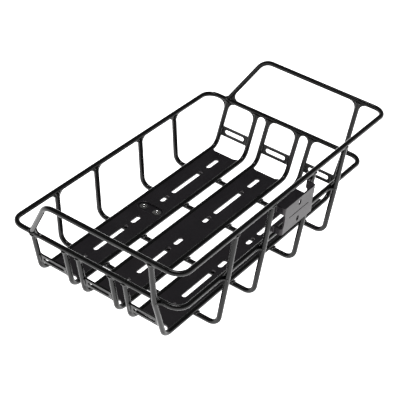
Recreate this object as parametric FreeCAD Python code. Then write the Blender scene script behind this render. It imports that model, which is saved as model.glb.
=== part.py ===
import FreeCAD, Part
import math
import os

# Carrier basket of welded round wire: a low closed rim, a raised guard rail open on the left side,
# six floor wires, four cross wires, three slotted floor plates, slotted end straps, a lamp bracket
# and a pair of clamp bolts. Millimetres, +Z up. X runs along the basket, near end at -X, far end at
# +X; the open left side is at +Y and the bracket on the right side at -Y. The origin is the middle
# of the bottom of the whole basket's box. Functions work in basket coordinates, where the rim is
# centred on X = Y = 0 and the floor wires' centrelines lie at Z = 0; save() moves each node.

V = FreeCAD.Vector
X, Y, Z = V(1, 0, 0), V(0, 1, 0), V(0, 0, 1)

# Wire and rims, between wire centrelines
WIRE_D = 8.0
RIM_LENGTH = 490.0
RIM_WIDTH = 297.0
RIM_RISE = 79.0
RIM_BEND = 20.0
GUARD_LENGTH = 544.0
GUARD_RISE = 160.0
GUARD_SIDE = 161.0
GUARD_TURN = 65.0
GUARD_FOOT = 110.0
GUARD_BEND = 20.0
GUARD_TURN_BEND = 26.0

# Floor wires and cross wires
FLOOR_LENGTH = 444.0
FLOOR_BEND = 19.0
ROW_PITCH = 81.5
ROW_GAUGE = 57.5
ROW_SHIFT = -2.3
CROSS_X = (-146.0, -55.0, 55.0, 146.0)
CROSS_LEFT = 135.3
CROSS_RIGHT = 150.8
CROSS_BEND = 16.0
PASS_BEND = 60.0
PASS_END = 8.6
PASS_SIDE = 8.2
BUTT_GAP = 2.0

# Floor plates
PLATE_T = 3.0
PLATE_TOP = 2.0
PLATE_EAR = 207.0
PLATE_END = 204.0
PLATE_END_R = 6.0
SLOT_W = 7.0
LONG_SLOT = 80.0
LONG_SLOT_X = 98.5
SHORT_SLOT = 20.0
SHORT_SLOT_X = 37.5
END_SLOT = 31.0
END_SLOT_X = 170.0
SLOT_ROUND = 0.8
END_HOLE_D = 5.0
END_HOLE_X = 159.0

# Clamp bolts in their pressed recess
BOLT_SPACING = 25.0
BOLT_D = 6.0
BOLT_HOLE_D = 6.4
BOLT_HEAD_D = 10.5
BOLT_HEAD_H = 3.3
BOLT_FLANGE_D = 13.6
BOLT_FLANGE_H = 1.2
BOLT_LENGTH = 10.0
BOLT_CHAMFER = 0.6
SOCKET_AF = 4.0
SOCKET_DEPTH = 2.0
RECESS_LENGTH = 44.0
RECESS_WIDTH = 21.0
RECESS_DEPTH = 2.6
RECESS_WALL = 2.5
RECESS_ROUND = 1.6
WASHER_D = 12.0
WASHER_T = 1.0
NUT_AF = 10.0
NUT_H = 5.0

# End straps and gusset webs
STRAP_T = 3.0
STRAP_H = 16.0
STRAP_Z = 28.0
STRAP_SLOT = 38.0
STRAP_SLOT_W = 7.0
WEB_T = 3.0
WEB_TIGHT = 7.5
WEB_WIDE = 11.0
WEB_CROSSING = 7.0

# Lamp bracket
BRACKET_T = 2.5
BRACKET_FACE = 84.0
BRACKET_H = 46.0
BRACKET_MID_Z = 125.5
BRACKET_Y = 174.5
BRACKET_OUT = 15.0
BRACKET_BEND = 1.2
CUTOUT_H = 28.0
CUTOUT_R = 8.0
CUTOUT_INTO_FACE = 4.0
LAMP_SLOT = 9.0
LAMP_SLOT_W = 6.6
LAMP_SLOT_SPACING = 28.0
CREASE_LENGTH = 52.0
CREASE_W = 1.6
CREASE_DEPTH = 0.9

# Derived places
WIRE_R = WIRE_D / 2
RIM_X, RIM_Y = RIM_LENGTH / 2, RIM_WIDTH / 2
GUARD_X = GUARD_LENGTH / 2
FLOOR_X = FLOOR_LENGTH / 2
CROSS_Z = -WIRE_D
ROW_Y = [ROW_SHIFT + k * ROW_PITCH for k in (1, 0, -1)]
FLOOR_Y = [row + side * ROW_GAUGE / 2 for row in ROW_Y for side in (1, -1)]
ROW_NAMES = ("left", "middle", "right")
PLATE_BOTTOM = PLATE_TOP - PLATE_T
RECESS_FLOOR = PLATE_TOP - RECESS_DEPTH
RECESS_UNDER = RECESS_FLOOR - RECESS_WALL


def bent_path(points, bends):
    """A wire of straight runs joined by tangent arcs, one bend radius for each inner point."""
    edges = []
    start = points[0]
    for i, radius in enumerate(bends, 1):
        here = points[i]
        back = (points[i - 1] - here).normalize()
        ahead = (points[i + 1] - here).normalize()
        half = back.getAngle(ahead) / 2
        reach = radius / math.tan(half)
        apex = here + (back + ahead).normalize() * (radius / math.sin(half) - radius)
        edges.append(Part.LineSegment(start, here + back * reach).toShape())
        start = here + ahead * reach
        edges.append(Part.Arc(here + back * reach, apex, start).toShape())
    edges.append(Part.LineSegment(start, points[-1]).toShape())
    return Part.Wire(edges)


def rod(points, bends):
    """Round wire bent along the points."""
    path = bent_path(points, bends)
    first = path.Edges[0]
    section = Part.makeCircle(WIRE_R, first.Vertexes[0].Point, first.tangentAt(first.FirstParameter))
    return path.makePipeShell([Part.Wire([section])], True, False)


def towards(start, end, distance):
    """The point at a distance from start on the way to end."""
    return start + (end - start).normalize() * distance


def obround(length, width, height):
    """Slot tool along X, centred on the origin, standing from Z = 0."""
    half = (length - width) / 2
    body = Part.makeBox(2 * half, width, height, V(-half, -width / 2, 0))
    ends = [Part.makeCylinder(width / 2, height, V(x, 0, 0)) for x in (-half, half)]
    return body.fuse(ends).removeSplitter()


def turned(shape, centre, axis, angle):
    """A copy of the shape turned about a line."""
    copy = shape.copy()
    copy.rotate(centre, axis, angle)
    return copy


def moved(shape, offset):
    """A copy of the shape, moved."""
    copy = shape.copy()
    copy.translate(offset)
    return copy


def square_to(direction, line):
    """Unit vector across a line, on the side that the direction points to."""
    return (direction - line * direction.dot(line)).normalize()


def web(corner, along, down, radius, across=WIRE_R):
    """Concave gusset web in the corner between two wires. It starts at their axes' crossing and
    fills along one wire and down the other up to an arc that is tangent to both wires' sides."""
    along, down = V(along).normalize(), V(down).normalize()
    off_along, off_down = square_to(down, along), square_to(along, down)
    slant = math.sin(along.getAngle(down))
    hub = corner + (along * (across + radius) + down * (WIRE_R + radius)) * (1 / slant)
    apex = hub - (off_along + off_down).normalize() * radius
    side_a, side_d = hub - off_along * radius, hub - off_down * radius
    axis_a, axis_d = side_a - off_along * WIRE_R, side_d - off_down * across
    edges = [
        Part.LineSegment(corner, axis_a).toShape(),
        Part.LineSegment(axis_a, side_a).toShape(),
        Part.Arc(side_a, apex, side_d).toShape(),
        Part.LineSegment(side_d, axis_d).toShape(),
        Part.LineSegment(axis_d, corner).toShape(),
    ]
    normal = along.cross(down).normalize() * WEB_T
    face = Part.Face(Part.Wire(edges))
    face.translate(normal * -0.5)
    return face.extrude(normal)


# Rims ------------------------------------------------------------------------------------------


def lower_rim():
    """The closed lower rim, one wire whose ends meet in the middle of the right side."""
    seam = V(0, -RIM_Y, RIM_RISE)
    signs = ((1, -1), (1, 1), (-1, 1), (-1, -1))
    corners = [V(a * RIM_X, b * RIM_Y, RIM_RISE) for a, b in signs]
    return rod([seam] + corners + [seam], [RIM_BEND] * 4)


def guard_rail(rim):
    """The raised U-shaped rail, whose sloping feet butt on the lower rim."""
    points = []
    for side in (-1, 1):
        foot = V(side * RIM_X, GUARD_FOOT, RIM_RISE)
        turn = V(side * GUARD_X, GUARD_TURN, GUARD_RISE)
        corner = V(side * GUARD_X, -GUARD_SIDE, GUARD_RISE)
        points += [towards(foot, turn, BUTT_GAP), turn, corner][::-side]
    bends = [GUARD_TURN_BEND, GUARD_BEND, GUARD_BEND, GUARD_TURN_BEND]
    return rod(points, bends).cut(rim)


# Floor and cross wires -------------------------------------------------------------------------


def end_top(side, y):
    """Where an end upright's axis meets the rim's axis."""
    return V(side * RIM_X, y, RIM_RISE)


def end_foot(side, y):
    """The corner between a floor wire's run and its end upright."""
    return V(side * FLOOR_X, y, 0)


def end_pass(side, y):
    """Where the outer floor wire passes outside the lower rim."""
    return V(side * (RIM_X + PASS_END), y, RIM_RISE)


def guard_end_top(side, y):
    """Where the outer floor wire's upright meets the guard rail's end."""
    return V(side * GUARD_X, y, GUARD_RISE)


def floor_wire(y, rim):
    """A floor wire whose ends butt on the underside of the lower rim."""
    ends = [towards(end_top(s, y), end_foot(s, y), BUTT_GAP) for s in (-1, 1)]
    points = [ends[0], end_foot(-1, y), end_foot(1, y), ends[1]]
    return rod(points, [FLOOR_BEND] * 2).cut(rim)


def outer_floor_wire(y, guard):
    """The outer floor wire, which passes outside the lower rim up to the guard rail."""
    ends = [towards(guard_end_top(s, y), end_pass(s, y), BUTT_GAP) for s in (-1, 1)]
    points = [ends[0], end_pass(-1, y), end_foot(-1, y), end_foot(1, y), end_pass(1, y), ends[1]]
    return rod(points, [PASS_BEND, FLOOR_BEND, FLOOR_BEND, PASS_BEND]).cut(guard)


def side_pass(x):
    """Where a cross wire passes outside the lower rim on the right side."""
    return V(x, -RIM_Y - PASS_SIDE, RIM_RISE)


def cross_wire(x, rim, guard):
    """A cross wire under the floor: up to the rim on the left, outside it to the guard on the right."""
    left_top = V(x, RIM_Y, RIM_RISE)
    left_foot = V(x, CROSS_LEFT, CROSS_Z)
    right_foot = V(x, -CROSS_RIGHT, CROSS_Z)
    right_top = V(x, -GUARD_SIDE, GUARD_RISE)
    start = towards(left_top, left_foot, BUTT_GAP)
    end = towards(right_top, side_pass(x), BUTT_GAP)
    points = [start, left_foot, right_foot, side_pass(x), end]
    return rod(points, [CROSS_BEND, CROSS_BEND, PASS_BEND]).cut([rim, guard])


# Floor plates, clamp bolts ---------------------------------------------------------------------


def plate_slots(row_y):
    """Cutting tools of one floor plate's slots and hole."""
    depth = 2 * PLATE_T
    tools = []
    for length, xs in (
        (LONG_SLOT, (-LONG_SLOT_X, LONG_SLOT_X)),
        (SHORT_SLOT, (-SHORT_SLOT_X, SHORT_SLOT_X)),
        (END_SLOT, (END_SLOT_X,)),
    ):
        slot = obround(length, SLOT_W, depth)
        tools += [moved(slot, V(x, row_y, PLATE_TOP - depth + PLATE_T / 2)) for x in xs]
    hole = V(-END_HOLE_X, row_y, PLATE_BOTTOM - PLATE_T)
    tools.append(Part.makeCylinder(END_HOLE_D / 2, 3 * PLATE_T, hole))
    return tools


def softened(plate, radius, diagonals):
    """The plate with its openings' top edges rounded, if the opening's box has such a diagonal."""
    rounded = []
    for face in plate.Faces:
        if face.normalAt(0, 0).z > 0.999 and abs(face.BoundBox.ZMax - PLATE_TOP) < 0.001:
            for outline in face.Wires:
                across = outline.BoundBox.DiagonalLength
                if any(abs(across - diagonal) < 0.01 for diagonal in diagonals):
                    rounded += outline.Edges
    return plate.makeFillet(radius, rounded)


def plate_ends(row_y):
    """Cutting tools that leave an ear beside each wire at both ends of a plate."""
    span = ROW_GAUGE - WIRE_D - 2
    ear = turned(obround(span, 2 * PLATE_END_R, 3 * PLATE_T), V(0, 0, 0), Z, 90)
    reach = PLATE_END + PLATE_END_R
    return [moved(ear, V(side * reach, row_y, PLATE_BOTTOM - PLATE_T)) for side in (-1, 1)]


def floor_plate(row_y, wires):
    """Slotted plate welded between the two floor wires of one row."""
    corner = V(-PLATE_EAR, row_y - ROW_GAUGE / 2, PLATE_BOTTOM)
    plate = Part.makeBox(2 * PLATE_EAR, ROW_GAUGE, PLATE_T, corner)
    plate = plate.cut(plate_slots(row_y) + plate_ends(row_y) + wires)
    diagonals = [math.hypot(length, SLOT_W) for length in (LONG_SLOT, SHORT_SLOT, END_SLOT)]
    diagonals.append(math.hypot(END_HOLE_D, END_HOLE_D))
    return softened(plate, SLOT_ROUND, diagonals)


def bolt_places(row_y):
    """Where the two clamp bolts' axes cross the floor wires' level."""
    return [V(0, row_y + side * BOLT_SPACING / 2, 0) for side in (-1, 1)]


def recessed(plate, row_y, wires):
    """The plate with its pressed obround recess and two bolt holes."""
    outer_height = PLATE_BOTTOM - RECESS_UNDER + PLATE_T / 2
    outer = obround(RECESS_LENGTH + 2 * RECESS_WALL, RECESS_WIDTH + 2 * RECESS_WALL, outer_height)
    outer = moved(turned(outer, V(0, 0, 0), Z, 90), V(0, row_y, RECESS_UNDER))
    pocket = obround(RECESS_LENGTH, RECESS_WIDTH, 2 * RECESS_DEPTH)
    pocket = moved(turned(pocket, V(0, 0, 0), Z, 90), V(0, row_y, RECESS_FLOOR))
    holes = [
        Part.makeCylinder(BOLT_HOLE_D / 2, 4 * RECESS_DEPTH, place + V(0, 0, RECESS_UNDER - RECESS_DEPTH))
        for place in bolt_places(row_y)
    ]
    plate = plate.fuse(outer).cut([pocket] + holes + wires).removeSplitter()
    return softened(plate, RECESS_ROUND, [math.hypot(RECESS_LENGTH, RECESS_WIDTH)])


def hexagon(across_flats, height, base):
    """Hexagonal prism standing on a base point."""
    radius = across_flats / math.sqrt(3)
    angles = [math.radians(60 * k) for k in range(7)]
    corners = [base + V(radius * math.cos(a), radius * math.sin(a), 0) for a in angles]
    return Part.Face(Part.makePolygon(corners)).extrude(Z * height)


def clamp_bolt(place):
    """Button-head socket bolt with a flange that rests on the recess floor."""
    seat = place + V(0, 0, RECESS_FLOOR)
    dome_r = (BOLT_HEAD_D**2 / 4 + BOLT_HEAD_H**2) / (2 * BOLT_HEAD_H)
    dome = Part.makeSphere(dome_r, seat + V(0, 0, BOLT_HEAD_H - dome_r))
    head = Part.makeCylinder(BOLT_HEAD_D / 2, BOLT_HEAD_H, seat).common(dome)
    flange = Part.makeCylinder(BOLT_FLANGE_D / 2, BOLT_FLANGE_H, seat)
    shank = Part.makeCylinder(BOLT_D / 2, BOLT_LENGTH - BOLT_CHAMFER, seat, -Z)
    tip_base = seat - V(0, 0, BOLT_LENGTH - BOLT_CHAMFER)
    tip = Part.makeCone(BOLT_D / 2, BOLT_D / 2 - BOLT_CHAMFER, BOLT_CHAMFER, tip_base, -Z)
    socket = hexagon(SOCKET_AF, SOCKET_DEPTH + 1, seat + V(0, 0, BOLT_HEAD_H - SOCKET_DEPTH))
    return head.fuse([flange, shank, tip]).cut(socket).removeSplitter()


def clamp_washer(place):
    """Flat washer under the recess."""
    base = place + V(0, 0, RECESS_UNDER - WASHER_T)
    bore = Part.makeCylinder(BOLT_HOLE_D / 2, WASHER_T, base)
    return Part.makeCylinder(WASHER_D / 2, WASHER_T, base).cut(bore)


def clamp_nut(place):
    """Hexagon nut under the washer, chamfered on its lower corners."""
    base = place + V(0, 0, RECESS_UNDER - WASHER_T - NUT_H)
    bore = Part.makeCylinder(BOLT_D / 2, NUT_H, base)
    cone_r = NUT_AF / 2 + NUT_H
    chamfer = Part.makeCone(cone_r, NUT_AF / 2 - 0.2, NUT_H + 0.4, base + V(0, 0, NUT_H + 0.2), -Z)
    return hexagon(NUT_AF, NUT_H, base).common(chamfer).cut(bore)


# Straps and gussets ----------------------------------------------------------------------------


def end_strap(side, row, wires):
    """Slotted strap between a row's two end uprights, in the plane of the uprights."""
    top, foot = end_top(side, 0), end_foot(side, 0)
    lean = math.degrees(math.atan2(RIM_X - FLOOR_X, RIM_RISE))
    share = STRAP_Z / RIM_RISE
    middle = foot + (top - foot) * share + V(0, ROW_Y[row], 0)
    if row == 2:
        middle += V(side * PASS_END / 2 * share, 0, 0)
    blank = Part.makeBox(STRAP_T, ROW_GAUGE, STRAP_H, V(-STRAP_T / 2, -ROW_GAUGE / 2, -STRAP_H / 2))
    slot = turned(obround(STRAP_SLOT, STRAP_SLOT_W, 2 * STRAP_T), V(0, 0, 0), Z, 90)
    slot = turned(moved(slot, V(0, 0, -STRAP_T)), V(0, 0, 0), Y, 90)
    strap = turned(blank.cut(slot), V(0, 0, 0), Y, side * lean)
    return moved(strap, middle).cut(wires)


def end_rim_webs(side, cutters):
    """Gusset webs under the lower rim, both sides of each end upright of wires 1 to 5."""
    webs = []
    for i, y in enumerate(FLOOR_Y[:5]):
        down = end_foot(side, y) - end_top(side, y)
        outward = 1 if i % 2 == 0 else -1
        for sign in (1, -1):
            radius = WEB_TIGHT if sign == outward and i > 0 else WEB_WIDE
            webs.append(web(end_top(side, y), V(0, sign, 0), down, radius).cut(cutters))
    return webs


def left_rim_webs(cutters):
    """Gusset webs under the lower rim, both sides of each cross wire's left upright."""
    webs = []
    for x in CROSS_X:
        top = V(x, RIM_Y, RIM_RISE)
        down = V(x, CROSS_LEFT, CROSS_Z) - top
        webs += [web(top, V(sign, 0, 0), down, WEB_WIDE).cut(cutters) for sign in (1, -1)]
    return webs


def guard_side_webs(cutters):
    """Gusset webs under the guard rail, both sides of each cross wire's right upright."""
    webs = []
    for x in CROSS_X:
        top = V(x, -GUARD_SIDE, GUARD_RISE)
        down = side_pass(x) - top
        webs += [web(top, V(sign, 0, 0), down, WEB_TIGHT).cut(cutters) for sign in (1, -1)]
    return webs


def guard_end_webs(side, cutters):
    """Gusset webs under the guard rail's end, both sides of the outer floor wire's upright."""
    y = FLOOR_Y[5]
    top = guard_end_top(side, y)
    down = end_pass(side, y) - top
    return [web(top, V(0, sign, 0), down, WEB_WIDE).cut(cutters) for sign in (1, -1)]


def crossing_webs(crossing, along, inward, cutters):
    """Two level webs where an upright passes outside the lower rim."""
    webs = []
    for sign in (1, -1):
        blank = web(crossing + inward * WIRE_D, V(along) * sign, inward * -1, WEB_CROSSING)
        webs.append(blank.cut(cutters))
    return webs


def guard_foot_web(side, cutters):
    """Web between the lower rim and the guard rail's sloping foot, in the narrower corner."""
    foot = V(side * RIM_X, GUARD_FOOT, RIM_RISE)
    slope = V(side * GUARD_X, GUARD_TURN, GUARD_RISE) - foot
    return web(foot, Y * -1, slope, WEB_TIGHT).cut(cutters)


# Lamp bracket ----------------------------------------------------------------------------------


def hat_profile():
    """The bracket's bent strip seen from above, outer side towards +Y, as a closed face: a flat
    front, two square sides and two brims that meet the uprights."""
    end_x = CROSS_X[2]
    sides = []
    wide = BRACKET_BEND + BRACKET_T
    for out, bends in ((1, (BRACKET_BEND, wide)), (0, (wide, BRACKET_BEND))):
        side_x = BRACKET_FACE / 2 - BRACKET_T * (1 - out)
        front = BRACKET_OUT - BRACKET_T * (1 - out)
        brim = BRACKET_T * (out - 0.5)
        half = [V(end_x, brim, 0), V(side_x, brim, 0), V(side_x, front, 0)]
        points = [V(-point.x, point.y, 0) for point in half] + half[::-1]
        sides.append((points, bent_path(points, bends + bends[::-1])))
    (outer, outer_path), (inner, inner_path) = sides
    caps = [Part.LineSegment(outer[k], inner[k]).toShape() for k in (0, -1)]
    edges = outer_path.Edges + inner_path.Edges + caps
    return Part.Face(Part.Wire(Part.__sortEdges__(edges)))


def lamp_bracket(cutters):
    """Hat-shaped bracket between the two middle uprights of the right side."""
    hat = hat_profile().extrude(Z * BRACKET_H)
    hat.translate(V(0, 0, -BRACKET_H / 2))
    width = CROSS_X[2] + WIRE_D - BRACKET_FACE / 2 + CUTOUT_INTO_FACE
    corner = V(-width / 2, -BRACKET_OUT / 2, -CUTOUT_H / 2)
    opening = Part.makeBox(width, 2 * BRACKET_OUT, CUTOUT_H, corner)
    opening = opening.makeFillet(CUTOUT_R, [e for e in opening.Edges if is_along(e, Y)])
    lamp_slot = turned(obround(LAMP_SLOT, LAMP_SLOT_W, 4 * BRACKET_T), V(0, 0, 0), Y, 90)
    lamp_slot = turned(lamp_slot, V(0, 0, 0), Z, 90)
    tools = []
    for side in (-1, 1):
        middle = side * (BRACKET_FACE / 2 - CUTOUT_INTO_FACE + width / 2)
        tools.append(moved(opening, V(middle, 0, 0)))
        level = side * LAMP_SLOT_SPACING / 2
        tools.append(moved(lamp_slot, V(0, BRACKET_OUT - 3 * BRACKET_T, level)))
    corner = V(-CREASE_LENGTH / 2, BRACKET_OUT - CREASE_DEPTH, -CREASE_W / 2)
    tools.append(Part.makeBox(CREASE_LENGTH, BRACKET_T, CREASE_W, corner))
    hat = turned(hat.cut(tools), V(0, 0, 0), Z, 180)
    return moved(hat, V(0, BRACKET_OUT - BRACKET_Y, BRACKET_MID_Z)).cut(cutters)


def is_along(edge, axis):
    """Whether a straight edge runs along an axis."""
    direction = edge.Vertexes[-1].Point - edge.Vertexes[0].Point
    return abs(direction.normalize().dot(axis)) > 0.999


# Assembly --------------------------------------------------------------------------------------


def build():
    """Every node's solid or solids, by name, in basket coordinates."""
    rim = lower_rim()
    guard = guard_rail(rim)
    floor_wires = [floor_wire(y, rim) for y in FLOOR_Y[:5]] + [outer_floor_wire(FLOOR_Y[5], guard)]
    cross_wires = [cross_wire(x, rim, guard) for x in CROSS_X]
    nodes = {"lower_rim": rim, "guard_rail": guard}
    for i, wire in enumerate(floor_wires):
        nodes[f"floor_wire_{i + 1}"] = wire
    for i, wire in enumerate(cross_wires):
        nodes[f"cross_wire_{i + 1}"] = wire
    for row, name in enumerate(ROW_NAMES):
        pair = floor_wires[2 * row : 2 * row + 2]
        plate = floor_plate(ROW_Y[row], pair)
        if row == 0:
            plate = recessed(plate, ROW_Y[row], pair)
        nodes[f"floor_plate_{name}"] = plate
        nodes[f"end_strap_near_{name}"] = end_strap(-1, row, pair)
        nodes[f"end_strap_far_{name}"] = end_strap(1, row, pair)
    for side, end in ((-1, "near"), (1, "far")):
        nodes[f"rim_webs_{end}"] = end_rim_webs(side, [rim] + floor_wires)
        nodes[f"guard_webs_{end}"] = guard_end_webs(side, [guard, floor_wires[5]])
        crossing = end_pass(side, FLOOR_Y[5])
        nodes[f"crossing_webs_{end}"] = crossing_webs(crossing, Y, X * -side, [rim, floor_wires[5]])
        nodes[f"guard_foot_web_{end}"] = guard_foot_web(side, [rim, guard])
    nodes["rim_webs_left"] = left_rim_webs([rim] + cross_wires)
    nodes["guard_webs_right"] = guard_side_webs([guard] + cross_wires)
    nodes["crossing_webs_right"] = []
    for x, wire in zip(CROSS_X, cross_wires):
        nodes["crossing_webs_right"] += crossing_webs(side_pass(x), X, Y, [rim, wire])
    nodes["lamp_bracket"] = lamp_bracket(cross_wires[1:3] + nodes["guard_webs_right"])
    places = bolt_places(ROW_Y[0])
    nodes["clamp_bolts"] = [clamp_bolt(place) for place in places]
    nodes["clamp_washers"] = [clamp_washer(place) for place in places]
    nodes["clamp_nuts"] = [clamp_nut(place) for place in places]
    return nodes


def joined(made):
    """One shape of a node's solids, which are checked."""
    pieces = made if isinstance(made, list) else [made]
    solids = [solid for piece in pieces for solid in piece.Solids]
    if not all(solid.isValid() and solid.isClosed() for solid in solids):
        raise ValueError("an open or invalid solid")
    return Part.makeCompound(solids) if len(solids) > 1 else solids[0]


def save(name, shape):
    """Writes a node, moved so that the origin is the middle of the bottom of the whole box."""
    offset = V(0, (BRACKET_Y - RIM_Y - WIRE_R) / 2, WIRE_R - CROSS_Z)
    moved(shape, offset).exportStep(f"parts/{name}.step")


def main():
    os.makedirs("parts", exist_ok=True)
    for name, made in build().items():
        shape = joined(made)
        save(name, shape)
        print(name, len(shape.Solids), "solids", round(shape.Volume), "mm3")


main()
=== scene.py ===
"""Powder coat, weld beads, clamp bolts and studio for a carrier basket of welded round wire.

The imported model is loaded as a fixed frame, and every place is read from it in metres. The basket
lies along X with its near end at -X, its open side at +Y and its lamp bracket at -Y.
"""

import math

import bmesh
import bpy
from bpy.props import FloatProperty, FloatVectorProperty, IntProperty, PointerProperty
from mathutils import Matrix, Vector


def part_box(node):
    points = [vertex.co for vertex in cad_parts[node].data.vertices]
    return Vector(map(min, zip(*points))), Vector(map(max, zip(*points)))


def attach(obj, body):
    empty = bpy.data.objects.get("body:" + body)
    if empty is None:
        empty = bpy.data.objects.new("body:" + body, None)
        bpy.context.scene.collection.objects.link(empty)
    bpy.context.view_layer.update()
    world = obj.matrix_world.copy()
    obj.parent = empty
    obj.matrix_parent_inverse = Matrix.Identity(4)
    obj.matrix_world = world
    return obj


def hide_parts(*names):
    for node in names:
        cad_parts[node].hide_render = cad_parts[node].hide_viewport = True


bl_info = {
    "name": "Wire Carrier Basket",
    "version": (1, 0, 0),
    "blender": (4, 5, 0),
    "location": "View3D > Sidebar > Basket",
    "description": "Powder coat, weld beads, clamp bolts and studio for a welded wire carrier basket",
    "category": "Object",
}

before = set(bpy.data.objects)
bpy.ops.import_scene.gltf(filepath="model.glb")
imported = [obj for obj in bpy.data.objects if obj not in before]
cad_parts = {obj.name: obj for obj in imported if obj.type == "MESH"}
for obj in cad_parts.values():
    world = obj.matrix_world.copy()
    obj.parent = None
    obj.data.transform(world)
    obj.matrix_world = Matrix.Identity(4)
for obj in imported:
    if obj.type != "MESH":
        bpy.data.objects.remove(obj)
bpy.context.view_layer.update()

BODY = "root"
MM = 0.001
FLOOR_WIRES = [f"floor_wire_{i}" for i in range(1, 7)]
CROSS_WIRES = [f"cross_wire_{i}" for i in range(1, 5)]
ROWS = ("left", "middle", "right")
PLATES = [f"floor_plate_{row}" for row in ROWS]
FASTENERS = ("clamp_bolts", "clamp_washers", "clamp_nuts")
WELD_COAT = "powder_coat_weld"

# Two heights between which an upright is straight: under the lower rim, under the guard rail, and
# on the guard rail's sloping feet.
RIM_LEVELS = (50 * MM, 75 * MM)
GUARD_LEVELS = (125 * MM, 150 * MM)
FOOT_LEVELS = (105 * MM, 125 * MM)

# Sizes of the CAD parts that their boxes do not give.
BOLT_LENGTH = 10 * MM
PLATE_SHEET = 3 * MM
BRACKET_SHEET = 2.5 * MM
BRACKET_ARM = 9 * MM

# Sharp edges, and how close two vertices are when they count as one.
SHARP = math.radians(40)
SAME_PLACE = 0.001 * MM

# Beads: steps round one, steps to a ripple, and the part of a half sine wave that its ends taper by.
BEAD_SIDES = 8
RIPPLE_STEPS = 4
TAPER_START, TAPER_SPAN, TAPER_POWER = 0.12, 0.76, 0.6
COLLAR_STEPS = 32

# How far a bead's middle stands off, as a share of its own radius.
COLLAR_LIFT = 0.4
BRACKET_BEAD_LIFT = 0.5
BRACKET_BEAD_OUT = 0.3
STITCH_LIFT = 0.4

# Where a bead's middle lies, as a share of the wire's radius.
NUGGET_SINK = 0.1
RIM_BEAD_RISE = 0.95
RIM_BEAD_OUT = 0.3
STRAP_BEAD_OFF = 1.06
PLATE_BEAD_OFF = 1.05

# Other shapes of beads.
NUGGET_BULGE = 1.15
RIM_BEAD_BULGE = 1.1
RIM_BEAD_SHARE = 0.9
STRAP_BEAD_REACH = 0.42
STRAP_BEAD_FACE = 2.2 * MM
BRACKET_BEAD_REACH = 0.4
STITCHES = (30 * MM, 100 * MM, 188 * MM)

# Clamp bolts. The thread's lengths are shares of its pitch.
FLANGE_ROUNDING = 0.3 * MM
DOME_STEPS = 8
SOCKET_CHAMFER = 0.25 * MM
TIP_CHAMFER = 0.6 * MM
THREAD_STEPS = 24
THREAD_DEPTH = 0.6
THREAD_START = 0.7
RIDGE_ROOT_LOW, RIDGE_ROOT_HIGH = 0.05, 0.95
RIDGE_CREST_LOW, RIDGE_CREST_HIGH = 0.45, 0.55
RIDGE_SINK = 0.1 * MM

# Powder coat: darkest and palest tone, the specks' tone, the grain that makes a speck, and relief.
COAT_TONES = (0.82, 1.22)
SPECK_TONE = 2.4
SPECK_GRAIN = (0.66, 0.74)
SPECK_COVER = 0.35
GRAIN_PITCH = 0.45
GLOSS_SPREAD = (-0.04, 0.05)
PEEL_STRENGTH = 0.6
GRAIN_STRENGTH = 0.35
GRAIN_DEPTH = 0.4
WIRE_CLOUDS, SHEET_CLOUDS, WELD_CLOUDS = 30 * MM, 45 * MM, 20 * MM
SHEET_TINT = (1.0, 0.92, 0.93, 1.0)

# Plated steel: tones, dulling, and turning marks.
STEEL_TONES = (0.72, 1.18)
STEEL_ROUGHNESS = (0.07, 0.16)
DULLING_PITCH = 3 * MM
MARK_PITCH = 0.25 * MM
MARK_STRENGTH = 0.3
MARK_DEPTH = 0.01 * MM

# Studio, in metres, and the heights above the horizon where the surroundings fade to dark.
FLOOR_REACH = 6.0
FLOOR_MOTTLE = 0.4
FLOOR_TONES = (0.995, 1.0)
FLOOR_ROUGHNESS = 0.9
FLOOR_SHINE = 0.1
OVERHEAD_PLACE, OVERHEAD_SIZE = (0.2, 0.3, 2.6), (0.8, 0.8)
END_PLACE, END_SIZE = (-2.4, 0.5, 0.5), (1.6, 0.8)
SIDE_PLACE, SIDE_SIZE = (0.3, -2.4, 0.6), (1.6, 0.8)
FADE_START, FADE_END = math.radians(5), math.radians(14)
SENSOR_MM = 36.0


# Sizes and colours -----------------------------------------------------------------------------


class PowderCoatSettings(bpy.types.PropertyGroup):
    """Colours and texture of the satin black powder coat."""

    wire_colour: FloatVectorProperty(
        name="Wire colour", description="Coat on wires, webs and straps", subtype="COLOR",
        size=3, min=0, max=1, default=(0.0045, 0.0044, 0.0046))
    sheet_colour: FloatVectorProperty(
        name="Sheet colour", description="Coat on floor plates and the lamp bracket", subtype="COLOR",
        size=3, min=0, max=1, default=(0.0165, 0.0150, 0.0180))
    wire_roughness: FloatProperty(
        name="Wire roughness", description="Mean roughness of the coat on wire", subtype="FACTOR",
        min=0, max=1, default=0.17)
    sheet_roughness: FloatProperty(
        name="Sheet roughness", description="Mean roughness of the coat on sheet", subtype="FACTOR",
        min=0, max=1, default=0.33)
    wire_index: FloatProperty(
        name="Wire index", description="Refractive index of the coat on wire", min=1, max=2,
        default=1.36)
    sheet_index: FloatProperty(
        name="Sheet index", description="Refractive index of the coat on sheet", min=1, max=2,
        default=1.37)
    weld_roughness: FloatProperty(
        name="Weld roughness", description="Mean roughness of the coat on weld beads", subtype="FACTOR",
        min=0, max=1, default=0.13)
    weld_index: FloatProperty(
        name="Weld index", description="Refractive index of the coat on weld beads", min=1, max=2,
        default=1.6)
    peel_pitch: FloatProperty(
        name="Orange peel pitch", description="Distance between the coat's ripples", subtype="DISTANCE",
        unit="LENGTH", default=1.1 * MM)
    peel_depth: FloatProperty(
        name="Orange peel depth", description="Height of the coat's ripples", subtype="DISTANCE",
        unit="LENGTH", default=0.035 * MM)


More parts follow.
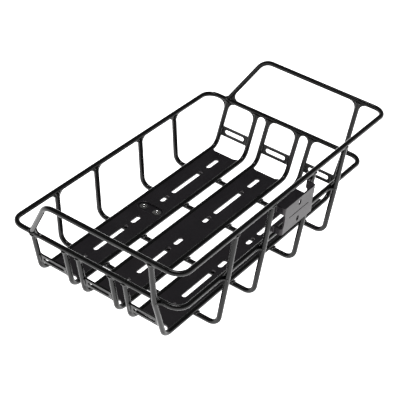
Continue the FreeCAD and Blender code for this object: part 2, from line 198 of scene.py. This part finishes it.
class WeldSettings(bpy.types.PropertyGroup):
    """Sizes of the weld beads."""

    collar: FloatProperty(
        name="Collar size", description="Radius of the bead round a wire's end", subtype="DISTANCE",
        unit="LENGTH", default=1.35 * MM)
    nugget: FloatProperty(
        name="Nugget size", description="Radius of the beads where two wires cross", subtype="DISTANCE",
        unit="LENGTH", default=2.1 * MM)
    stitch: FloatProperty(
        name="Stitch size", description="Radius of the beads on straps, plates and bracket",
        subtype="DISTANCE", unit="LENGTH", default=1.3 * MM)
    stitch_length: FloatProperty(
        name="Stitch length", description="Length of one bead under a floor plate", subtype="DISTANCE",
        unit="LENGTH", default=16 * MM)
    ripple_pitch: FloatProperty(
        name="Ripple pitch", description="Distance between a bead's ripples", subtype="DISTANCE",
        unit="LENGTH", default=1.6 * MM)
    ripple_depth: FloatProperty(
        name="Ripple depth", description="How far a bead narrows between its ripples", subtype="FACTOR",
        min=0, max=0.5, default=0.14)


class BoltSettings(bpy.types.PropertyGroup):
    """Shape and colour of the clamp bolts."""

    colour: FloatVectorProperty(
        name="Steel colour", description="Bolts, washers and nuts", subtype="COLOR",
        size=3, min=0, max=1, default=(0.50, 0.50, 0.49))
    flange: FloatProperty(
        name="Flange diameter", description="Width of the head's flange", subtype="DISTANCE",
        unit="LENGTH", default=13.6 * MM)
    flange_height: FloatProperty(
        name="Flange height", description="Thickness of the head's flange", subtype="DISTANCE",
        unit="LENGTH", default=1.2 * MM)
    head: FloatProperty(
        name="Head height", description="Height of the whole head", subtype="DISTANCE",
        unit="LENGTH", default=3.3 * MM)
    dome: FloatProperty(
        name="Dome diameter", description="Width of the button head", subtype="DISTANCE",
        unit="LENGTH", default=10.5 * MM)
    socket_width: FloatProperty(
        name="Socket width", description="Across the flats of the hexagon socket", subtype="DISTANCE",
        unit="LENGTH", default=4.0 * MM)
    socket_depth: FloatProperty(
        name="Socket depth", description="Depth of the hexagon socket", subtype="DISTANCE",
        unit="LENGTH", default=2.0 * MM)
    shank: FloatProperty(
        name="Shank diameter", description="Outer diameter of the thread", subtype="DISTANCE",
        unit="LENGTH", default=6.0 * MM)
    pitch: FloatProperty(
        name="Thread pitch", description="Distance between the thread's crests", subtype="DISTANCE",
        unit="LENGTH", default=1.0 * MM)
    segments: IntProperty(
        name="Segments", description="Steps round a bolt, a multiple of six", default=48, min=12)


class StudioSettings(bpy.types.PropertyGroup):
    """Camera, floor and lights."""

    lens: FloatProperty(
        name="Lens", description="Focal length on a 36 mm sensor", unit="CAMERA", default=117.2)
    camera_place: FloatVectorProperty(
        name="Camera place", description="Where the camera stands", subtype="XYZ", unit="LENGTH",
        size=3, default=(-1.3591, -0.8311, 1.2091))
    aim: FloatVectorProperty(
        name="Aim", description="The point in the middle of the picture", subtype="XYZ", unit="LENGTH",
        size=3, default=(0.0163, 0.0119, 0.0600))
    roll: FloatProperty(
        name="Roll", description="Turn of the camera about its own axis", subtype="ANGLE",
        unit="ROTATION", default=math.radians(6.56))
    floor_colour: FloatVectorProperty(
        name="Floor colour", description="Pale studio floor", subtype="COLOR", size=3, min=0, max=1,
        default=(0.90, 0.90, 0.90))
    floor_glow: FloatProperty(
        name="Floor glow", description="Brightness of the lit floor", default=1.7, min=0)
    overhead: FloatProperty(
        name="Overhead light", description="Power of the large soft light above", unit="POWER",
        default=26.0)
    end_light: FloatProperty(
        name="End light", description="Power of the soft light off the near end", unit="POWER",
        default=2.0)
    side_light: FloatProperty(
        name="Side light", description="Power of the soft light off the bracket side", unit="POWER",
        default=2.0)
    horizon: FloatProperty(
        name="Horizon", description="Brightness of the surroundings at eye level", default=1.05, min=0)
    zenith: FloatProperty(
        name="Zenith", description="Brightness of the surroundings overhead", default=0.12, min=0)


class BasketSettings(bpy.types.PropertyGroup):
    """All the settings of the basket."""

    coat: PointerProperty(type=PowderCoatSettings)
    weld: PointerProperty(type=WeldSettings)
    bolt: PointerProperty(type=BoltSettings)
    studio: PointerProperty(type=StudioSettings)


# Reading the frame -----------------------------------------------------------------------------


def centre(node):
    """The middle of a node's box."""
    low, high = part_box(node)
    return (low + high) / 2


def wire_radius():
    """Half the thickness of the wire, from a cross wire's width."""
    low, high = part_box(CROSS_WIRES[0])
    return (high.x - low.x) / 2


def level_crossing(node, height, axis, side):
    """Where a wire's axis passes a height, on one side (+1 or -1) along a horizontal axis."""
    bm = bmesh.new()
    bm.from_mesh(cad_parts[node].data)
    whole = bm.verts[:] + bm.edges[:] + bm.faces[:]
    cut = bmesh.ops.bisect_plane(bm, geom=whole, plane_co=(0, 0, height), plane_no=(0, 0, 1))
    points = [item.co.copy() for item in cut["geom_cut"] if isinstance(item, bmesh.types.BMVert)]
    bm.free()
    points = [point for point in points if point[axis] * side > 0]
    if not points:
        raise RuntimeError(f"{node} does not pass {height} m")
    low = [min(point[k] for point in points) for k in range(3)]
    high = [max(point[k] for point in points) for k in range(3)]
    return (Vector(low) + Vector(high)) / 2


def row_wires(row):
    """The two floor wires beside a row, each with the way along Y from it into the row."""
    first = 2 * ROWS.index(row)
    return ((-1, FLOOR_WIRES[first]), (1, FLOOR_WIRES[first + 1]))


def upright(node, levels, axis, side, height):
    """The point at a height on an upright's axis, and the direction down the wire."""
    lower = level_crossing(node, levels[0], axis, side)
    upper = level_crossing(node, levels[1], axis, side)
    down = (lower - upper).normalized()
    return upper + down * ((height - upper.z) / down.z), down


# Meshes ----------------------------------------------------------------------------------------


def new_piece(name, bm, material):
    """Puts a bmesh into a piece that rides on the basket, smooth but for its sharp edges."""
    bmesh.ops.recalc_face_normals(bm, faces=bm.faces[:])
    for face in bm.faces:
        face.smooth = True
    for edge in bm.edges:
        edge.smooth = edge.calc_face_angle(0) < SHARP
    mesh = bpy.data.meshes.new(name)
    bm.to_mesh(mesh)
    bm.free()
    mesh.materials.append(material)
    piece = bpy.data.objects.new(name, mesh)
    bpy.context.scene.collection.objects.link(piece)
    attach(piece, BODY)
    return piece


def new_weld(name, bm):
    """Puts a bmesh of beads into a piece with the weld's coat."""
    new_piece(name, bm, bpy.data.materials[WELD_COAT])


def edges_within(edges, corners):
    """The edges with both ends in a set of vertices."""
    return [edge for edge in edges if set(edge.verts) <= corners]


def extruded_ring(bm, edges):
    """Extrudes a ring of edges on the spot. Returns the new ring's vertices and edges."""
    made = bmesh.ops.extrude_edge_only(bm, edges=edges)["geom"]
    corners = {item for item in made if isinstance(item, bmesh.types.BMVert)}
    new_edges = [item for item in made if isinstance(item, bmesh.types.BMEdge)]
    return corners, edges_within(new_edges, corners)


def add_to(whole, bm):
    """Moves a small bmesh into a larger one, which is quicker than building in the larger one."""
    mesh = bpy.data.meshes.new("part")
    bm.to_mesh(mesh)
    bm.free()
    whole.from_mesh(mesh)
    bpy.data.meshes.remove(mesh)


def bead(whole, middle, half, radius, weld, bulge=1.0):
    """A rippled weld bead that runs half each way from its middle.

    It tapers at both ends, and bulge widens its middle.
    """
    start, end = middle - half, middle + half
    run = end - start
    ripples = max(2, round(run.length / weld.ripple_pitch))
    steps = RIPPLE_STEPS * ripples
    turn = run.to_track_quat("Z", "Y").to_matrix().to_4x4()

    def width(share):
        """The bead's radius at a share of its length."""
        taper = math.sin(math.pi * (TAPER_START + TAPER_SPAN * share)) ** TAPER_POWER
        ripple = 1 - weld.ripple_depth * math.sin(math.pi * ripples * share) ** 2
        return radius * taper * ripple * (1 + (bulge - 1) * math.sin(math.pi * share))

    bm = bmesh.new()
    bmesh.ops.create_circle(
        bm, cap_ends=True, segments=BEAD_SIDES, radius=width(0),
        matrix=Matrix.Translation(start) @ turn)
    edges = bm.edges[:]
    place = start.copy()
    for k in range(1, steps + 1):
        corners, edges = extruded_ring(bm, edges)
        ring = list(corners)
        scale = width(k / steps) / width((k - 1) / steps)
        bmesh.ops.scale(bm, vec=(scale,) * 3, space=Matrix.Translation(-place), verts=ring)
        bmesh.ops.translate(bm, vec=run / steps, verts=ring)
        place += run / steps
    bmesh.ops.edgeloop_fill(bm, edges=edges)
    add_to(whole, bm)


def collar(whole, top, down, rail, radius, weld):
    """A weld bead round a wire where it butts on a rail of the same radius.

    A ring is spun about the wire's axis, and each point is moved down the wire until it lies on
    the rail's surface.
    """
    size = weld.collar
    lift = COLLAR_LIFT * size
    along = (rail - down * rail.dot(down)).normalized()
    out = down.cross(along)
    turn = Matrix((along, down, out)).transposed().to_4x4()
    start = top + along * (radius + lift)
    bm = bmesh.new()
    bmesh.ops.create_circle(
        bm, cap_ends=False, segments=BEAD_SIDES, radius=size,
        matrix=Matrix.Translation(start) @ turn)
    bmesh.ops.spin(
        bm, geom=bm.edges[:], cent=top, axis=down, dvec=(0, 0, 0), angle=math.tau,
        steps=COLLAR_STEPS, use_merge=True)
    bmesh.ops.remove_doubles(bm, verts=bm.verts[:], dist=SAME_PLACE)
    sine, cosine = along.dot(rail), down.dot(rail)
    reach = radius + lift
    ripples = round(math.tau * radius / weld.ripple_pitch)
    for vert in bm.verts:
        arm = vert.co - top
        angle = math.atan2(arm.dot(out), arm.dot(along))
        side, off = radius * math.cos(angle), radius * math.sin(angle)
        half = side * sine * cosine
        square = 1 - cosine**2
        rest = side**2 * (1 - sine**2) + off**2 - reach**2
        drop = (half + math.sqrt(half**2 - square * rest)) / square
        spoke = along * math.cos(angle) + out * math.sin(angle)
        hub = top + spoke * (radius + lift)
        pinch = weld.ripple_depth * math.sin(ripples * angle / 2) ** 2
        vert.co += (hub - vert.co) * pinch + down * drop
    add_to(whole, bm)


def spun(bm, points, middle, steps):
    """Spins a profile of (radius, height) points about a vertical axis. Returns its new vertices."""
    before = set(bm.verts)
    place = Vector((middle.x, middle.y, 0))
    made = bmesh.ops.create_vert(bm, co=place + Vector((points[0][0], 0, points[0][1])))
    last = made["vert"][0]
    edges = []
    for radius, height in points[1:]:
        made = bmesh.ops.extrude_vert_indiv(bm, verts=[last])
        edges.append(made["edges"][0])
        last = made["verts"][0]
        last.co = place + Vector((radius, 0, height))
    bmesh.ops.spin(
        bm, geom=edges, cent=place, axis=(0, 0, 1), dvec=(0, 0, 0), angle=math.tau, steps=steps,
        use_merge=True)
    made = [vert for vert in bm.verts if vert not in before]
    bmesh.ops.remove_doubles(bm, verts=made, dist=SAME_PLACE)
    return [vert for vert in bm.verts if vert not in before]


def button_bolt(whole, middle, tip, bolt):
    """A flanged button-head bolt standing on its tip, with a hexagon socket and a thread."""
    seat = tip + BOLT_LENGTH
    top = seat + bolt.head
    shelf = seat + bolt.flange_height
    flange, dome = bolt.flange / 2, bolt.dome / 2
    ball = (dome**2 + bolt.head**2) / (2 * bolt.head)
    flat = bolt.socket_width / 2
    inner = flange - FLANGE_ROUNDING
    points = [(0, seat), (inner, seat), (flange, seat + FLANGE_ROUNDING)]
    points += [(flange, shelf - FLANGE_ROUNDING), (inner, shelf)]
    low = math.acos((shelf - top + ball) / ball)
    high = math.asin((flat / math.cos(math.pi / 6) + SOCKET_CHAMFER) / ball)
    for k in range(DOME_STEPS + 1):
        angle = low + (high - low) * k / DOME_STEPS
        points.append((ball * math.sin(angle), top - ball + ball * math.cos(angle)))
    bm = bmesh.new()
    made = spun(bm, points, middle, bolt.segments)
    mouth = points[-1][1]
    rim = {vert for vert in made if abs(vert.co.z - mouth) < SAME_PLACE}
    edges = edges_within(bm.edges, rim)
    for height in (mouth - SOCKET_CHAMFER, top - bolt.socket_depth):
        corners, edges = extruded_ring(bm, edges)
        for vert in corners:
            arm = vert.co - middle
            angle = math.atan2(arm.y, arm.x)
            reach = flat / math.cos(angle % (math.pi / 3) - math.pi / 6)
            vert.co = middle + Vector((reach * math.cos(angle), reach * math.sin(angle), height))
    bmesh.ops.edgeloop_fill(bm, edges=edges)
    thread(bm, middle, seat, tip, bolt)
    add_to(whole, bm)


def thread(bm, middle, top, tip, bolt):
    """The bolt's core, and a helical ridge wound round it."""
    crest = bolt.shank / 2
    root = crest - THREAD_DEPTH * bolt.pitch
    core = [(root, top), (root, tip + TIP_CHAMFER), (root - TIP_CHAMFER, tip), (0, tip)]
    spun(bm, core, middle, THREAD_STEPS)
    turns = int((top - tip) / bolt.pitch) - 1
    start = tip + THREAD_START * bolt.pitch
    sunk = root - RIDGE_SINK
    ridge = [(sunk, RIDGE_ROOT_LOW), (crest, RIDGE_CREST_LOW)]
    ridge += [(crest, RIDGE_CREST_HIGH), (sunk, RIDGE_ROOT_HIGH)]
    verts = []
    for radius, height in ridge:
        place = Vector((middle.x + radius, middle.y, start + (height - 0.5) * bolt.pitch))
        verts += bmesh.ops.create_vert(bm, co=place)["vert"]
    section = bmesh.ops.contextual_create(bm, geom=verts)["faces"]
    steps = THREAD_STEPS * turns
    bmesh.ops.spin(
        bm, geom=section, cent=middle, axis=(0, 0, 1), dvec=(0, 0, turns * bolt.pitch / steps),
        angle=math.tau * turns, steps=steps)


# Materials -------------------------------------------------------------------------------------


class NodeSheet:
    """Adds nodes and links to one material."""

    def __init__(self, name):
        self.material = bpy.data.materials.new(name)
        self.material.use_nodes = True
        self.tree = self.material.node_tree
        self.shader = self.tree.nodes["Principled BSDF"]

    def add(self, kind, inputs=None, **values):
        """A new node with its settings, and its inputs linked to sockets or set to values."""
        node = self.tree.nodes.new(kind)
        for key, value in values.items():
            setattr(node, key, value)
        for key, value in (inputs or {}).items():
            if isinstance(value, bpy.types.NodeSocket):
                self.tree.links.new(value, node.inputs[key])
            else:
                node.inputs[key].default_value = value
        return node

    def link(self, source, target):
        """Links an output to an input."""
        self.tree.links.new(source, target)

    def noise(self, place, pitch, detail=2.0):
        """Noise whose features are about one pitch apart."""
        inputs = {"Vector": place, "Scale": 1 / pitch, "Detail": detail}
        return self.add("ShaderNodeTexNoise", inputs).outputs["Fac"]

    def ramp(self, value, low, high):
        """Spreads the middle of a noise over a range of numbers."""
        inputs = {"Value": value, "From Min": 0.3, "From Max": 0.7, "To Min": low, "To Max": high}
        return self.add("ShaderNodeMapRange", inputs).outputs["Result"]

    def tones(self, value, colour, shares):
        """A mix of two tones of a colour, each given as a share of it."""
        tone = self.add("ShaderNodeMix", {"Factor": value}, data_type="RGBA")
        for key, share in zip("AB", shares):
            tone.inputs[key].default_value = (*[share * c for c in colour], 1)
        return tone.outputs["Result"]


def coat_material(name, colour, roughness, index, coat, cloud_pitch):
    """Satin powder coat: fine orange peel, soft clouds of gloss and tone, and a few paler specks."""
    sheet = NodeSheet(name)
    place = sheet.add("ShaderNodeTexCoord").outputs["Object"]
    clouds = sheet.noise(place, cloud_pitch)
    grain = sheet.noise(place, coat.peel_pitch * GRAIN_PITCH, detail=3.0)
    tone = sheet.tones(clouds, colour, COAT_TONES)
    specks = sheet.add(
        "ShaderNodeMapRange",
        {"Value": grain, "From Min": SPECK_GRAIN[0], "From Max": SPECK_GRAIN[1],
         "To Min": 0.0, "To Max": SPECK_COVER})
    dusted = sheet.add("ShaderNodeMix", {"Factor": specks.outputs["Result"]}, data_type="RGBA")
    sheet.link(tone, dusted.inputs["A"])
    dusted.inputs["B"].default_value = (*[SPECK_TONE * c for c in colour], 1)
    sheet.link(dusted.outputs["Result"], sheet.shader.inputs["Base Color"])
    gloss = sheet.ramp(clouds, roughness + GLOSS_SPREAD[0], roughness + GLOSS_SPREAD[1])
    sheet.link(gloss, sheet.shader.inputs["Roughness"])
    peel = sheet.noise(place, coat.peel_pitch, detail=1.0)
    ripples = sheet.add(
        "ShaderNodeBump",
        {"Height": peel, "Strength": PEEL_STRENGTH, "Distance": coat.peel_depth})
    fine = sheet.add(
        "ShaderNodeBump",
        {"Height": grain, "Strength": GRAIN_STRENGTH, "Distance": coat.peel_depth * GRAIN_DEPTH,
         "Normal": ripples.outputs["Normal"]})
    sheet.link(fine.outputs["Normal"], sheet.shader.inputs["Normal"])
    sheet.shader.inputs["IOR"].default_value = index
    return sheet.material


def steel_material(colour):
    """Plated steel with turning marks and a little dulling."""
    sheet = NodeSheet("plated_steel")
    place = sheet.add("ShaderNodeTexCoord").outputs["Object"]
    dulling = sheet.noise(place, DULLING_PITCH, detail=4.0)
    tone = sheet.tones(dulling, colour, STEEL_TONES)
    sheet.link(tone, sheet.shader.inputs["Base Color"])
    sheet.link(sheet.ramp(dulling, *STEEL_ROUGHNESS), sheet.shader.inputs["Roughness"])
    marks = sheet.noise(place, MARK_PITCH)
    bump = sheet.add(
        "ShaderNodeBump", {"Height": marks, "Strength": MARK_STRENGTH, "Distance": MARK_DEPTH})
    sheet.link(bump.outputs["Normal"], sheet.shader.inputs["Normal"])
    sheet.shader.inputs["Metallic"].default_value = 1.0
    return sheet.material


def floor_material(colour, glow):
    """Matt pale floor, lit from below as a light table is, with a very faint mottle."""
    sheet = NodeSheet("studio_floor")
    place = sheet.add("ShaderNodeTexCoord").outputs["Object"]
    mottle = sheet.noise(place, FLOOR_MOTTLE)
    tone = sheet.tones(mottle, colour, FLOOR_TONES)
    sheet.link(tone, sheet.shader.inputs["Base Color"])
    sheet.shader.inputs["Roughness"].default_value = FLOOR_ROUGHNESS
    sheet.shader.inputs["Specular IOR Level"].default_value = FLOOR_SHINE
    sheet.shader.inputs["Emission Color"].default_value = (1, 1, 1, 1)
    sheet.shader.inputs["Emission Strength"].default_value = glow
    return sheet.material


def give(nodes, material):
    """Assigns a material to CAD nodes."""
    for node in nodes:
        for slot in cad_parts[node].material_slots:
            slot.material = material


def settings():
    """The basket's settings."""
    return bpy.context.scene.basket


# Operators -------------------------------------------------------------------------------------


class BASKET_OT_powder_coat(bpy.types.Operator):
    """Coat the wires, webs, straps, floor plates and lamp bracket"""

    bl_idname = "basket.powder_coat"
    bl_label = "Powder Coat"

    def execute(self, context):
        coat = settings().coat
        wire = coat_material(
            "powder_coat_wire", coat.wire_colour, coat.wire_roughness, coat.wire_index, coat,
            WIRE_CLOUDS)
        sheet = coat_material(
            "powder_coat_sheet", coat.sheet_colour, coat.sheet_roughness, coat.sheet_index, coat,
            SHEET_CLOUDS)
        coat_material(
            WELD_COAT, coat.wire_colour, coat.weld_roughness, coat.weld_index, coat, WELD_CLOUDS)
        sheet.node_tree.nodes["Principled BSDF"].inputs["Specular Tint"].default_value = SHEET_TINT
        sheets = PLATES + ["lamp_bracket"]
        give([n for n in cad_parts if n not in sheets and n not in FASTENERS], wire)
        give(sheets, sheet)
        return {"FINISHED"}


class BASKET_OT_end_welds(bpy.types.Operator):
    """Lay a weld bead round every wire end that butts on the lower rim or the guard rail"""

    bl_idname = "basket.end_welds"
    bl_label = "End Welds"

    def execute(self, context):
        weld = settings().weld
        radius = wire_radius()
        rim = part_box("lower_rim")[1].z - radius
        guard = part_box("guard_rail")[1].z - radius
        along_x, along_y = Vector((1, 0, 0)), Vector((0, 1, 0))
        bm = bmesh.new()
        for side in (-1, 1):
            for node in FLOOR_WIRES[:5]:
                top, down = upright(node, RIM_LEVELS, 0, side, rim)
                collar(bm, top, down, along_y, radius, weld)
            top, down = upright(FLOOR_WIRES[5], GUARD_LEVELS, 0, side, guard)
            collar(bm, top, down, along_y, radius, weld)
            foot, down = upright("guard_rail", FOOT_LEVELS, 0, side, rim)
            collar(bm, foot, -down, along_y, radius, weld)
        for node in CROSS_WIRES:
            top, down = upright(node, RIM_LEVELS, 1, 1, rim)
            collar(bm, top, down, along_x, radius, weld)
            top, down = upright(node, GUARD_LEVELS, 1, -1, guard)
            collar(bm, top, down, along_x, radius, weld)
        new_weld("end_welds", bm)
        return {"FINISHED"}


class BASKET_OT_crossing_welds(bpy.types.Operator):
    """Lay weld nuggets where floor wires lie on cross wires and where uprights pass the lower rim"""

    bl_idname = "basket.crossing_welds"
    bl_label = "Crossing Welds"

    def execute(self, context):
        weld = settings().weld
        radius = wire_radius()
        half = Vector((radius, 0, 0))
        bm = bmesh.new()
        for floor_wire in FLOOR_WIRES:
            y = centre(floor_wire).y
            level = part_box(floor_wire)[0].z
            for cross_wire in CROSS_WIRES:
                x = centre(cross_wire).x
                for side in (-1, 1):
                    spot = Vector((x, y + side * radius, level - NUGGET_SINK * radius))
                    bead(bm, spot, half, weld.nugget, weld, NUGGET_BULGE)
        self.rim_crossings(bm, radius, weld)
        new_weld("crossing_welds", bm)
        return {"FINISHED"}

    def rim_crossings(self, bm, radius, weld):
        """Two beads above and below the lower rim wherever an upright passes outside it."""
        low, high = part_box("lower_rim")
        level = high.z - radius
        spots = [(node, 1, -1, low.y + radius, Vector((radius, 0, 0))) for node in CROSS_WIRES]
        spots += [(FLOOR_WIRES[5], 0, -1, low.x + radius, Vector((0, radius, 0)))]
        spots += [(FLOOR_WIRES[5], 0, 1, high.x - radius, Vector((0, radius, 0)))]
        for node, axis, side, rim, half in spots:
            for lift in (-1, 1):
                height = level + lift * RIM_BEAD_RISE * radius
                spot = level_crossing(node, height, axis, side)
                spot[axis] = (rim + spot[axis]) / 2 - side * RIM_BEAD_OUT * radius
                bead(bm, spot, half, RIM_BEAD_SHARE * weld.nugget, weld, RIM_BEAD_BULGE)


class BASKET_OT_strap_welds(bpy.types.Operator):
    """Lay weld beads at both ends of every end strap, on both of its faces"""

    bl_idname = "basket.strap_welds"
    bl_label = "Strap Welds"

    def execute(self, context):
        weld = settings().weld
        radius = wire_radius()
        bm = bmesh.new()
        for row in ROWS:
            for side, end in ((-1, "near"), (1, "far")):
                strap = f"end_strap_{end}_{row}"
                middle = centre(strap)
                low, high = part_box(strap)
                for inward, node in row_wires(row):
                    axis, down = upright(node, RIM_LEVELS, 0, side, middle.z)
                    outward = Vector((down.z, 0, -down.x)).normalized()
                    half = down * (STRAP_BEAD_REACH * (high.z - low.z))
                    off = inward * STRAP_BEAD_OFF * radius
                    corner = Vector((middle.x, axis.y + off, middle.z))
                    for face in (-1, 1):
                        spot = corner + outward * (face * STRAP_BEAD_FACE)
                        bead(bm, spot, half, weld.stitch, weld)
        new_weld("strap_welds", bm)
        return {"FINISHED"}


class BASKET_OT_bracket_welds(bpy.types.Operator):
    """Lay weld beads where the lamp bracket's four arms meet two uprights"""

    bl_idname = "basket.bracket_welds"
    bl_label = "Bracket Welds"

    def execute(self, context):
        weld = settings().weld
        radius = wire_radius()
        low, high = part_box("lamp_bracket")
        lift = BRACKET_BEAD_LIFT * weld.stitch
        out = BRACKET_BEAD_OUT * weld.stitch
        bm = bmesh.new()
        for node, side in ((CROSS_WIRES[1], 1), (CROSS_WIRES[2], -1)):
            for height in (low.z + BRACKET_ARM / 2, high.z - BRACKET_ARM / 2):
                axis, down = upright(node, GUARD_LEVELS, 1, -1, height)
                half = down * (BRACKET_BEAD_REACH * BRACKET_ARM)
                for face in (high.y + lift, high.y - BRACKET_SHEET - lift):
                    across = math.sqrt(max(0, radius**2 - (face - axis.y) ** 2))
                    spot = Vector((axis.x + side * (across + out), face, height))
                    bead(bm, spot, half, weld.stitch, weld)
        new_weld("bracket_welds", bm)
        return {"FINISHED"}


class BASKET_OT_plate_welds(bpy.types.Operator):
    """Lay short stitch beads under both long edges of every floor plate"""

    bl_idname = "basket.plate_welds"
    bl_label = "Plate Welds"

    def execute(self, context):
        weld = settings().weld
        radius = wire_radius()
        half = Vector((weld.stitch_length / 2, 0, 0))
        bm = bmesh.new()
        for row in ROWS:
            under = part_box(f"floor_plate_{row}")[1].z - PLATE_SHEET
            for inward, node in row_wires(row):
                edge = centre(node).y + inward * PLATE_BEAD_OFF * radius
                for x in STITCHES:
                    for side in (-1, 1):
                        spot = Vector((side * x, edge, under - STITCH_LIFT * weld.stitch))
                        bead(bm, spot, half, weld.stitch, weld)
        new_weld("plate_welds", bm)
        return {"FINISHED"}


class BASKET_OT_clamp_bolts(bpy.types.Operator):
    """Turn the two clamp bolts and plate the fasteners"""

    bl_idname = "basket.clamp_bolts"
    bl_label = "Clamp Bolts"

    def execute(self, context):
        bolt = settings().bolt
        steel = steel_material(bolt.colour)
        give(FASTENERS, steel)
        low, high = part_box("clamp_bolts")
        reach = (high.y - low.y - bolt.flange) / 2
        middle = centre("clamp_bolts")
        bm = bmesh.new()
        for side in (-1, 1):
            place = Vector((middle.x, middle.y + side * reach, 0))
            button_bolt(bm, place, low.z, bolt)
        piece = new_piece("turned_bolts", bm, steel)
        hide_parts("clamp_bolts")
        return {"FINISHED"}


class BASKET_OT_studio(bpy.types.Operator):
    """Set up the floor, the soft lights, the surroundings and the camera"""

    bl_idname = "basket.studio"
    bl_label = "Studio"

    def execute(self, context):
        studio = settings().studio
        self.floor(studio)
        self.lights(studio)
        self.surroundings(studio)
        self.camera(studio)
        context.scene.view_settings.view_transform = "Standard"
        return {"FINISHED"}

    def floor(self, studio):
        """The flat floor under the basket."""
        bm = bmesh.new()
        bmesh.ops.create_grid(bm, x_segments=8, y_segments=8, size=FLOOR_REACH)
        mesh = bpy.data.meshes.new("studio_floor")
        bm.to_mesh(mesh)
        bm.free()
        mesh.materials.append(floor_material(studio.floor_colour, studio.floor_glow))
        floor = bpy.data.objects.new("studio_floor", mesh)
        bpy.context.scene.collection.objects.link(floor)

    def soft_light(self, name, place, size, power):
        """A rectangular light that faces the basket."""
        data = bpy.data.lights.new(name, "AREA")
        data.shape = "RECTANGLE"
        data.size, data.size_y = size
        data.energy = power
        light = bpy.data.objects.new(name, data)
        light.location = place
        light.rotation_euler = (-Vector(place)).to_track_quat("-Z", "Y").to_euler()
        bpy.context.scene.collection.objects.link(light)

    def lights(self, studio):
        """The three soft lights."""
        self.soft_light("overhead_light", OVERHEAD_PLACE, OVERHEAD_SIZE, studio.overhead)
        self.soft_light("end_light", END_PLACE, END_SIZE, studio.end_light)
        self.soft_light("side_light", SIDE_PLACE, SIDE_SIZE, studio.side_light)

    def surroundings(self, studio):
        """A pale horizon that fades to a dark zenith."""
        world = bpy.data.worlds.new("studio_surroundings")
        bpy.context.scene.world = world
        world.use_nodes = True
        tree = world.node_tree
        place = tree.nodes.new("ShaderNodeTexCoord")
        split = tree.nodes.new("ShaderNodeSeparateXYZ")
        tree.links.new(place.outputs["Generated"], split.inputs["Vector"])
        fade = tree.nodes.new("ShaderNodeMapRange")
        fade.interpolation_type = "SMOOTHSTEP"
        fade.inputs["From Min"].default_value = math.sin(FADE_START)
        fade.inputs["From Max"].default_value = math.sin(FADE_END)
        fade.inputs["To Min"].default_value = studio.horizon
        fade.inputs["To Max"].default_value = studio.zenith
        tree.links.new(split.outputs["Z"], fade.inputs["Value"])
        tree.links.new(fade.outputs["Result"], tree.nodes["Background"].inputs["Strength"])
        tree.nodes["Background"].inputs["Color"].default_value = (1, 1, 1, 1)

    def camera(self, studio):
        """The camera, aimed and rolled."""
        data = bpy.data.cameras.new("studio_camera")
        data.lens = studio.lens
        data.sensor_width = SENSOR_MM
        camera = bpy.data.objects.new("studio_camera", data)
        place, aim = Vector(studio.camera_place), Vector(studio.aim)
        look = (aim - place).to_track_quat("-Z", "Y").to_matrix().to_4x4()
        roll = Matrix.Rotation(studio.roll, 4, "Z")
        camera.matrix_world = Matrix.Translation(place) @ look @ roll
        bpy.context.scene.collection.objects.link(camera)
        bpy.context.scene.camera = camera


class BASKET_PT_panel(bpy.types.Panel):
    """Settings and steps of the basket"""

    bl_idname = "BASKET_PT_panel"
    bl_label = "Carrier Basket"
    bl_space_type = "VIEW_3D"
    bl_region_type = "UI"
    bl_category = "Basket"

    def draw(self, context):
        basket = context.scene.basket
        for group in (basket.coat, basket.weld, basket.bolt, basket.studio):
            box = self.layout.box()
            box.label(text=group.bl_rna.description)
            for name in type(group).__annotations__:
                box.prop(group, name)
        for operator in OPERATORS:
            self.layout.operator(operator.bl_idname)


OPERATORS = (
    BASKET_OT_powder_coat,
    BASKET_OT_end_welds,
    BASKET_OT_crossing_welds,
    BASKET_OT_strap_welds,
    BASKET_OT_bracket_welds,
    BASKET_OT_plate_welds,
    BASKET_OT_clamp_bolts,
    BASKET_OT_studio,
)
CLASSES = (
    PowderCoatSettings,
    WeldSettings,
    BoltSettings,
    StudioSettings,
    BasketSettings,
    *OPERATORS,
    BASKET_PT_panel,
)


def register():
    """Adds the classes and the scene's settings."""
    for item in CLASSES:
        bpy.utils.register_class(item)
    bpy.types.Scene.basket = PointerProperty(type=BasketSettings)


def unregister():
    """Takes the settings and the classes away again."""
    del bpy.types.Scene.basket
    for item in reversed(CLASSES):
        bpy.utils.unregister_class(item)


def main():
    """Builds everything in order."""
    register()
    bpy.ops.basket.powder_coat()
    bpy.ops.basket.end_welds()
    bpy.ops.basket.crossing_welds()
    bpy.ops.basket.strap_welds()
    bpy.ops.basket.bracket_welds()
    bpy.ops.basket.plate_welds()
    bpy.ops.basket.clamp_bolts()
    bpy.ops.basket.studio()


if __name__ == "__main__":
    main()
